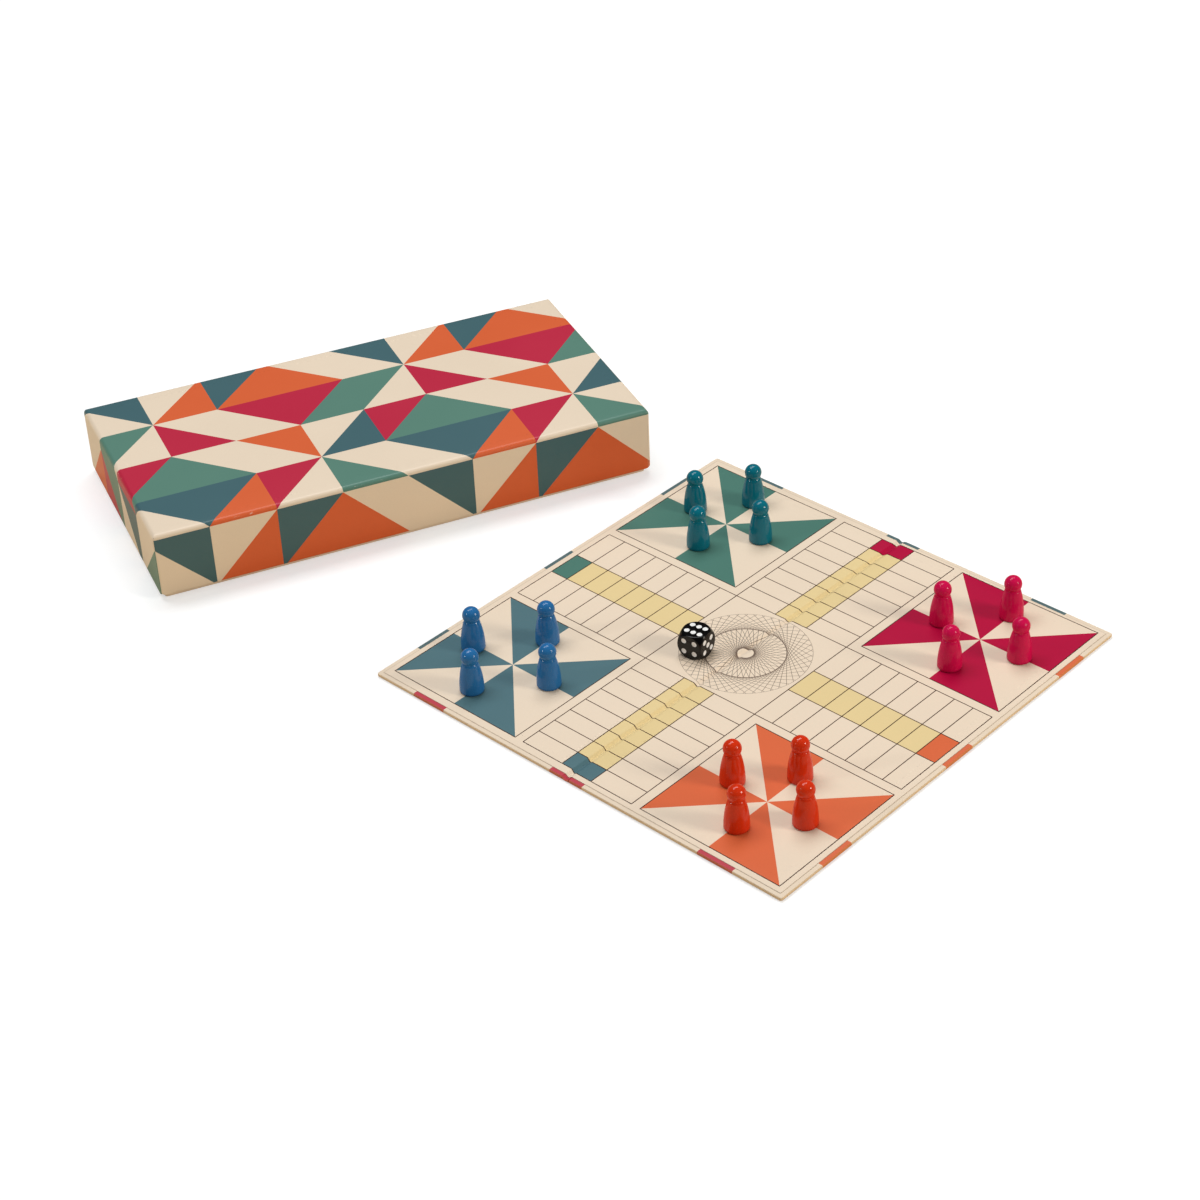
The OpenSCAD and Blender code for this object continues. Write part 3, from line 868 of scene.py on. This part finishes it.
class LUDO_OT_lid_paper(Operator):
    """Wraps the lid in its printed paper."""

    bl_idname = "ludo.lid_paper"
    bl_label = "Lid Paper"

    def execute(self, context):
        scene = context.scene
        case, inks = scene.ludo_case, scene.ludo_inks
        half = (LID_HIGH.x, LID_HIGH.y)
        profile, outer = lipped_profile(LID_HIGH.z, LID_LOW.z, 0.6 * MM, case)
        piece = wrapped_case("lid_paper", profile, half, case.corner, case.foot, LID_LOW.z, case.edge, False)
        rows = len(profile)
        section = np.zeros(rows)
        below = LID_HIGH.z - 1.2 * MM - profile[1 : outer - 1, 1]
        section[1 : outer - 1] = np.exp(-((below / (1.6 * MM)) ** 2))
        columns = len(piece.data.vertices) // rows
        upright = np.zeros(len(piece.data.vertices), np.float32)
        piece.data.attributes["seam"].data.foreach_get("value", upright)
        upright = 0.8 * np.exp(-((upright / (2.0 * MM)) ** 2)).reshape(rows, columns)
        note(piece, "edge", np.maximum(section[:, None], upright))
        clad(piece, lid_print(inks, case))
        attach(piece, "lid")
        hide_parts("lid_wrap")
        return {"FINISHED"}


class LUDO_OT_base_paper(Operator):
    """Wraps the base in plain cream paper."""

    bl_idname = "ludo.base_paper"
    bl_label = "Base Paper"

    def execute(self, context):
        scene = context.scene
        case, inks = scene.ludo_case, scene.ludo_inks
        top, fold = BASE_HIGH.z, 0.5 * MM
        inside = case.wall + case.paper
        outer = [
            [[case.turn_in, 0]],
            arc((fold, fold), fold, 270, 180, 4),
            arc((fold, top - fold), fold, 180, 90, 4),
            arc((inside - fold, top - fold), fold, 90, 0, 4),
            [[inside, top - case.turn_in], [case.wall, top - case.turn_in], [case.wall, top - case.paper]],
            [[case.paper, top - case.paper], [case.paper, case.paper], [case.turn_in, case.paper]],
        ]
        profile = np.concatenate(outer)
        half = (BASE_HIGH.x, BASE_HIGH.y)
        piece = wrapped_case("base_paper", profile, half, case.corner, 0.0, 0.0, fold, True)
        cream = tuple(inks.cream)
        clad(piece, printed_paper("base_cream_wrap", lambda w, flat: cream, unevenness=0.08, roughness=0.55))
        clad(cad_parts["base_underside"], pulp("underside_paper", inks.cream, 0.08, 0.08, 0.75, 0.02))
        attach(piece, "base")
        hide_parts("base_wrap")
        return {"FINISHED"}


class LUDO_OT_case_inside(Operator):
    """Finishes the greyboard, linings, tapes, insert and rules sheet."""

    bl_idname = "ludo.case_inside"
    bl_label = "Case Inside"

    def execute(self, context):
        inks = context.scene.ludo_inks
        grey = pulp("greyboard", inks.greyboard, 0.22, 0.3, 0.92, 0.06)
        lining = pulp("lining_paper", inks.lining, 0.05, 0.08, 0.85, 0.015)
        card = pulp("insert_card", linear(230, 226, 216), 0.06, 0.1, 0.8, 0.02)
        leaf = pulp("rules_leaf", linear(240, 238, 232), 0.03, 0.05, 0.7, 0.01)
        tape = pulp("corner_tape", linear(222, 205, 172), 0.1, 0.16, 0.85, 0.02)
        dressed = {
            grey: ("lid_board", "base_board", "board_panel_left", "board_panel_right"),
            lining: ("lid_liner", "base_liner"),
            card: ("insert_tray",),
            leaf: ("rules_sheet",),
            tape: ("lid_corner_tapes", "base_corner_tapes"),
        }
        for material, nodes in dressed.items():
            for node in nodes:
                clad(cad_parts[node], material)
        return {"FINISHED"}


class LUDO_OT_board_papers(Operator):
    """Makes the board's printed sheets and backing, and the strips that bend at the fold."""

    bl_idname = "ludo.board_papers"
    bl_label = "Board Papers"

    # How far each half's backing reaches in under the groove's strip at the fold.
    LAP = 0.5 * MM

    def square_at_fold(self, ring, side, half, corner, insets):
        """Squares both corners at the fold: a point's way from the corner circle's middle, over its larger part."""
        r = np.maximum(corner - insets, LEAST_RADIUS)[:, None]
        middle = np.stack([half[0] - insets[:, None] - r, half[1] - insets[:, None] - r], -1)
        away = (np.abs(ring) - middle) / r[..., None]
        bent = (away > 0).all(-1) & (ring[..., 0] * side < 0)
        grow = np.where(bent, 1 / np.maximum(away.max(-1), 1e-6), 1)[..., None]
        return np.where(bent[..., None], np.sign(ring) * (middle + away * grow * r[..., None]), ring)

    def half_slab(self, name, side, start, edge_at, low, high, edge, corner):
        """One half as a slab: a section (inset, height) carried round a rounded rectangle, closed by flat caps."""
        half = ((edge_at - start) / 2, edge_at)
        bend = min(edge, (high - low) / 2.2)
        turns = [arc((bend, low + bend), bend, 270, 180, 4), arc((bend, high - bend), bend, 180, 90, 4)]
        profile = np.concatenate([[[REACH, low]], *turns, [[REACH, high]]])
        ring, _ = rim(half, corner, profile[:, 0], 5)
        ring = self.square_at_fold(ring, side, half, corner, profile[:, 0])
        flat = np.concatenate([ring, np.broadcast_to(profile[:, 1, None, None], (*ring.shape[:2], 1))], -1)
        flat[..., 0] += side * (edge_at + start) / 2
        below = (flat[..., 2] <= low + 0.001 * MM).astype(float)
        uv = flat[..., :2] + np.stack([below, 0 * below], -1)
        return tube(name, on_board(flat), uv, smooth=50)

    def crease(self, board):
        """The printed sheet's groove: a strip whose height is the sheet's less the groove's depth."""
        end = BOARD_HALF - board.margin
        across = np.linspace(-board.groove_left, board.groove_right, 41)
        along = np.linspace(-end, end, 260)
        a, b = np.meshgrid(across, along)
        top = PRINT_HIGH.z - groove_depth(a, b, board)
        upper = np.stack([a, b, top], -1)
        lower = np.stack([a, b, top - 0.18 * MM], -1)[:, ::-1]
        loop = np.concatenate([upper, lower], 1)
        return tube("print_crease", on_board(loop), loop[..., :2], smooth=60)

    def spine(self, board):
        """The backing's strip between the halves: under the fold, round both ends and in over the margin.

        Its path is a flat loop open at the top; each point's height is scaled by 1 - depth / height of the board, so
        that the groove runs out through both ends.
        """
        high, bend, end = BACK_HIGH.z, board.edge, BOARD_HALF
        turns = [arc((end - bend, high - bend), bend, 90, 0, 5), arc((end - bend, bend), bend, 0, -90, 5)]
        right = np.concatenate([[[end - 12 * MM, high], [end - 6 * MM, high]], *turns])
        under = np.stack([np.linspace(end - 2 * MM, -(end - 2 * MM), 120), np.zeros(120)], 1)
        path = np.concatenate([right, under, right[::-1] * [-1, 1]])
        way = np.gradient(path, axis=0)
        way /= np.linalg.norm(way, axis=1)[:, None]
        inward = np.stack([way[:, 1], -way[:, 0]], 1)
        across = np.linspace(-board.groove_left + self.LAP, board.groove_right - self.LAP, 31)
        skins = []
        for depth in (0, board.sheet * 0.9):
            line = path + inward * depth
            a, b = np.meshgrid(across, line[:, 0])
            z = np.broadcast_to(line[:, 1, None], a.shape)
            sink = groove_depth(a, b, board) / high * 1.02
            skins.append(np.stack([a, b, z * (1 - sink)], -1))
        loop = np.concatenate([skins[0], skins[1][:, ::-1]], 1)
        below = np.zeros(loop.shape[:2])
        below[(loop[..., 2] < 0.3 * MM) & (np.abs(loop[..., 1]) < end - bend)] = 1
        uv = loop[..., :2] + np.stack([below, 0 * below], -1)
        return tube("backing_spine", on_board(loop), uv, smooth=60)

    def execute(self, context):
        scene = context.scene
        board, inks, case = scene.ludo_board, scene.ludo_inks, scene.ludo_case
        print_skin, backing_skin = board_print(inks, board), board_backing(inks, board, case)
        end = BOARD_HALF - board.margin
        pulp_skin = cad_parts["lid_board"].data.materials[0]
        low, high, sheet = BACK_HIGH.z, PRINT_HIGH.z, board.sheet
        for side, word, start in ((-1, "left", board.groove_left), (1, "right", board.groove_right)):
            printed = (start, end, low, high, 0.02 * MM, 0.5 * MM)
            backing = (start - self.LAP, BOARD_HALF, 0, low, board.edge, BOARD_CORNER)
            core = (start, BOARD_HALF - sheet, sheet, low - sheet, 0.3 * MM, BOARD_CORNER - sheet)
            for name, skin, node, slot, form in (
                ("print_sheet_", print_skin, "board_print_", "board_print", printed),
                ("backing_", backing_skin, "board_backing_", "board_backing", backing),
                ("pulp_half_", pulp_skin, "board_panel_", "board_greyboard", core),
            ):
                piece = self.half_slab(name + word, side, *form)
                clad(piece, skin)
                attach(piece, "board_" + word)
                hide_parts(node + word)
        crease, spine = self.crease(board), self.spine(board)
        for piece, skin, lap in ((crease, print_skin, 0), (spine, backing_skin, self.LAP)):
            clad(piece, skin)
            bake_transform(piece)
        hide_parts("board_spine")
        return {"FINISHED"}


class LUDO_OT_pawns(Operator):
    """Turns and paints the sixteen pawns."""

    bl_idname = "ludo.pawns"
    bl_label = "Pawns"

    # Roughness and clear coat of each paint.
    FINISH = {"blue": (0.44, 0.5), "green": (0.36, 0.55), "crimson": (0.48, 0.3), "orange": (0.4, 0.5)}

    def outline(self, pawn):
        """The pawn's half outline from its foot's middle to its crown, as (radius, height).

        The foot's edge is a quarter circle. The flank is foot + (shoulder - foot) t^swell at the share t of its height,
        so it starts upright and leans in ever more. A short slope leads to the neck, and the head is a circle from the
        neck's angle to the crown.
        """
        lean = math.degrees(math.acos(pawn.neck / pawn.head))
        head_z = pawn.height - pawn.head
        shoulder_z = head_z - pawn.head * math.sin(math.radians(lean)) - pawn.collar
        t = np.linspace(0, 1, 25)[1:]
        lean_in = pawn.foot + (pawn.shoulder - pawn.foot) * t**pawn.swell
        flank = np.stack([lean_in, pawn.edge + (shoulder_z - pawn.edge) * t], 1)
        crest = flank[-1] + np.array([[-0.22, 0.34], [-0.52, 0.66]]) * MM
        foot = arc((pawn.foot - pawn.edge, pawn.edge), pawn.edge, -90, 0, 7)
        head = arc((0, head_z), pawn.head, -lean, 88.5, 26)
        return np.concatenate([[[0.4 * MM, 0]], foot, flank, crest, head])

    def execute(self, context):
        scene = context.scene
        pawn, paints = scene.ludo_pawn, scene.ludo_paints
        rings = lathe(self.outline(pawn), 72)
        for colour in COLOURS:
            paint = pawn_paint("paint_" + colour, getattr(paints, colour), *self.FINISH[colour])
            for number in range(1, 5):
                node = f"pawn_{colour}_{number}"
                low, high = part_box(node)
                foot = [(low.x + high.x) / 2, (low.y + high.y) / 2, low.z]
                piece = tube(f"turned_{colour}_{number}", rings + foot, smooth=50)
                clad(piece, paint)
                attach(piece, node)
                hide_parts(node)
        return {"FINISHED"}


class LUDO_OT_die(Operator):
    """Casts the die and paints its spots."""

    bl_idname = "ludo.die"
    bl_label = "Die"

    # How far each number's face is turned from the top, in degrees about x and y, and the die's gap to the print.
    WAYS = {1: (180, 0), 2: (0, -90), 3: (-90, 0), 4: (90, 0), 5: (0, 90), 6: (0, 0)}
    GAP = 0.02 * MM

    def spots(self, number, die):
        """Places of a number's spots on its face."""
        corner = [(-1, -1), (1, 1), (-1, 1), (1, -1)]
        places = {
            1: [(0, 0)],
            2: corner[:2],
            3: [*corner[:2], (0, 0)],
            4: corner,
            5: [*corner, (0, 0)],
            6: [*corner, (0, -1), (0, 1)],
        }[number]
        stretch = (1.22, 0.9) if number == 6 else (1, 1)
        return np.array(places, float) * stretch * die.pitch

    def turned(self, points, number):
        """Turns a face drawn on top of the die to its own side."""
        about_x, about_y = self.WAYS[number]
        turn = Matrix.Rotation(math.radians(about_y), 3, "Y") @ Matrix.Rotation(math.radians(about_x), 3, "X")
        return points @ np.array(turn).T

    def placed(self, points, die):
        """Turns the die on the board and moves it to where its node lies, a hair above the print."""
        angle = BOARD_TURN + die.turn
        c, s = math.cos(angle), math.sin(angle)
        turned = points @ np.array([[c, -s, 0], [s, c, 0], [0, 0, 1]]).T
        return turned + np.array((DIE_LOW + DIE_HIGH) / 2) + [0, 0, self.GAP]

    def body(self, die, steps=81):
        """The die: along each direction n, radius = (cube^-p + ball^-p)^(-1/p), where the cube's radius is half the
        side over the largest part of n. Each spot is a dish of depth (1 - (r / spot)^2) pressed into its face.
        """
        half, ball, power = die.side / 2, die.ball * die.side / 2, 60
        t = np.tan(np.linspace(-1, 1, steps) * math.pi / 4)
        u, v = np.meshgrid(t, t)
        n = np.stack([u, v, np.ones_like(u)], -1).reshape(-1, 3)
        reach = np.linalg.norm(n, axis=1)
        radius = ((half * reach) ** -power + ball**-power) ** (-1 / power)
        face = n / reach[:, None] * radius[:, None]
        parts = []
        for number in self.WAYS:
            spots = self.spots(number, die)
            away = np.linalg.norm(face[:, None, :2] - spots[None], axis=2).min(1) / die.spot
            pressed = face.copy()
            pressed[:, 2] -= die.depth * np.clip(1 - away**2, 0, 1)
            parts.append(self.turned(pressed, number))
        points = np.concatenate(parts)
        quads = np.concatenate([grid_faces(steps, steps) + k * steps * steps for k in range(6)])
        rounded = np.round(points / (0.001 * MM))
        _, first, back = np.unique(rounded, axis=0, return_index=True, return_inverse=True)
        points, quads = points[first], back.ravel()[quads]
        if swept_volume(points, quads) < 0:
            quads = quads[:, ::-1]
        return new_piece("die_cube", self.placed(points, die), quads, smooth=40)

    def paint(self, die):
        """Paint in each spot: a lens between the dish and a shallower dish, on rings round its middle."""
        rings = np.array([0.02, 0.25, 0.5, 0.7, 0.85, 0.95]) * 0.96
        top = -(0.05 + 0.5 * (1 - rings**2)) * die.depth
        low = -die.depth * (1 - (rings * 0.99) ** 2) - 0.02 * MM
        radii = np.concatenate([rings, rings[::-1]]) * die.spot
        section = np.stack([radii, np.concatenate([top, low[::-1]])], 1)
        rows, columns = len(section), 32
        lens = lathe(section, columns).reshape(-1, 3) + [0, 0, die.side / 2]
        points, quads, caps, count = [], [], [], 0
        for number in self.WAYS:
            for spot in self.spots(number, die):
                points.append(self.turned(lens + [*spot, 0], number))
                faces, ends = outward(points[0], grid_faces(rows, columns, False, True), rows, columns)
                quads.append(faces + count)
                caps += [end + count for end in ends]
                count += len(lens)
        points, quads = np.concatenate(points), np.concatenate(quads)
        return new_piece("die_spots", self.placed(points, die), quads, caps, smooth=50)

    def execute(self, context):
        scene = context.scene
        die, paints = scene.ludo_die, scene.ludo_paints
        black = die_plastic("die_black_plastic", paints.black, 0.22, 0.5)
        white = die_plastic("die_spot_paint", paints.white, 0.45, 0.1)
        for piece, node, slot, material in (
            (self.body(die), "die_body", "die_black", black),
            (self.paint(die), "die_pips", "die_white", white),
        ):
            clad(piece, material)
            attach(piece, "die")
            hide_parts(node)
        return {"FINISHED"}


class LUDO_OT_studio(Operator):
    """Sets the floor, the lamps and the camera."""

    bl_idname = "ludo.studio"
    bl_label = "Studio"

    CAMERA = Vector((-0.40458, -1.39334, 0.90524))
    AIM = Vector((0.07557, -0.19819, 0.0))

    def lamp(self, name, place, aim, size, power, tone=(1, 1, 1), depth=None):
        data = bpy.data.lights.new(name, "AREA")
        data.shape, data.size, data.energy, data.color = "DISK", size, power, tone
        if depth:
            data.shape, data.size_y = "RECTANGLE", depth
        lamp = bpy.data.objects.new(name, data)
        lamp.location = place
        lamp.rotation_mode = "QUATERNION"
        lamp.rotation_quaternion = (Vector(aim) - Vector(place)).to_track_quat("-Z", "Y")
        bpy.context.scene.collection.objects.link(lamp)

    def floor(self, look):
        """A large flat floor: pale to the set, white to the camera, darker only where the set shades it."""
        t = np.linspace(-6, 6, 3)
        x, y = np.meshgrid(t, t)
        points = np.stack([x, y, np.full_like(x, -0.3 * MM)], -1).reshape(-1, 3)
        piece = new_piece("floor", points, grid_faces(3, 3))
        made, w, shader, place = new_material("studio_floor", 0.0)
        cloud = w.noise(place, 3.0, 2.0)
        colour = toned(w, tuple(look.floor), w.plus(0.98, w.times(cloud, 0.04)))
        path = w.put("ShaderNodeLightPath").outputs
        seen = w.either(path["Is Camera Ray"], path["Is Transmission Ray"])
        w.join(w.blend(seen, colour, (0.6, 0.6, 0.6)), shader.inputs["Base Color"])
        shader.inputs["Roughness"].default_value = 0.9
        shader.inputs["Emission Color"].default_value = (1, 1, 1, 1)
        w.join(w.times(seen, 0.5), shader.inputs["Emission Strength"])
        clad(piece, made)

    def execute(self, context):
        scene, look = context.scene, context.scene.ludo_studio
        world = bpy.data.worlds.new("studio_sky")
        world.use_nodes = True
        w = Wires(world.node_tree)
        ground = next(n for n in world.node_tree.nodes if n.type == "BACKGROUND")
        path = w.put("ShaderNodeLightPath").outputs
        sky = w.blend(path["Is Glossy Ray"], (look.sky,) * 3, (look.shine,) * 3)
        w.join(w.blend(path["Is Camera Ray"], sky, (1, 1, 1)), ground.inputs["Color"])
        scene.world = world
        self.floor(look)
        centre = Vector((0.06, -0.2, 0.0))
        self.lamp("top_lamp", centre + Vector((-0.08, 1.0, 2.7)), centre, 2.7, look.top, (0.96, 0.98, 1), 1.0)
        self.lamp("left_lamp", centre + Vector((-1.99, 0.1, 0.93)), centre, 0.3, look.left)
        self.lamp("right_lamp", centre + Vector((1.53, -1.55, 1.02)), centre, 0.7, look.right, (1, 0.95, 0.86))
        data = bpy.data.cameras.new("camera")
        data.sensor_fit, data.sensor_width, data.lens = "HORIZONTAL", 36.0, look.lens
        camera = bpy.data.objects.new("camera", data)
        camera.location = self.CAMERA
        camera.rotation_mode = "QUATERNION"
        level = (self.AIM - self.CAMERA).to_track_quat("-Z", "Y")
        camera.rotation_quaternion = level @ Quaternion((0, 0, 1), -look.roll)
        data.clip_start, data.clip_end = 0.05, 60
        scene.collection.objects.link(camera)
        scene.camera = camera
        scene.view_settings.view_transform = "Standard"
        return {"FINISHED"}


class LUDO_PT_set(Panel):
    """Lists the set's pieces in the sidebar."""

    bl_label = "Ludo Set"
    bl_idname = "LUDO_PT_set"
    bl_space_type = "VIEW_3D"
    bl_region_type = "UI"
    bl_category = "Ludo Set"

    def draw(self, context):
        for operator, group_name in STEPS:
            self.layout.operator(operator.bl_idname)
            if group_name:
                box = self.layout.box()
                look = getattr(context.scene, group_name)
                for name in look.__annotations__:
                    box.prop(look, name, text=name.replace("_", " ").title())


LOOKS = {
    "ludo_inks": InkColours,
    "ludo_paints": PaintColours,
    "ludo_case": CaseSizes,
    "ludo_board": BoardSizes,
    "ludo_pawn": PawnSizes,
    "ludo_die": DieSizes,
    "ludo_studio": StudioLook,
}
STEPS = (
    (LUDO_OT_lid_paper, "ludo_inks"),
    (LUDO_OT_base_paper, "ludo_case"),
    (LUDO_OT_case_inside, None),
    (LUDO_OT_board_papers, "ludo_board"),
    (LUDO_OT_pawns, "ludo_pawn"),
    (LUDO_OT_die, "ludo_die"),
    (LUDO_OT_studio, "ludo_studio"),
)


def register():
    for made in (*LOOKS.values(), *(step for step, _ in STEPS), LUDO_PT_set):
        bpy.utils.register_class(made)
    for name, look in LOOKS.items():
        setattr(bpy.types.Scene, name, PointerProperty(type=look))


def unregister():
    for name in LOOKS:
        delattr(bpy.types.Scene, name)
    for made in (LUDO_PT_set, *(step for step, _ in STEPS), *LOOKS.values()):
        bpy.utils.unregister_class(made)


def main():
    register()
    bpy.ops.ludo.lid_paper()
    bpy.ops.ludo.base_paper()
    bpy.ops.ludo.case_inside()
    bpy.ops.ludo.board_papers()
    bpy.ops.ludo.pawns()
    bpy.ops.ludo.die()
    bpy.ops.ludo.studio()


if __name__ == "__main__":
    main()
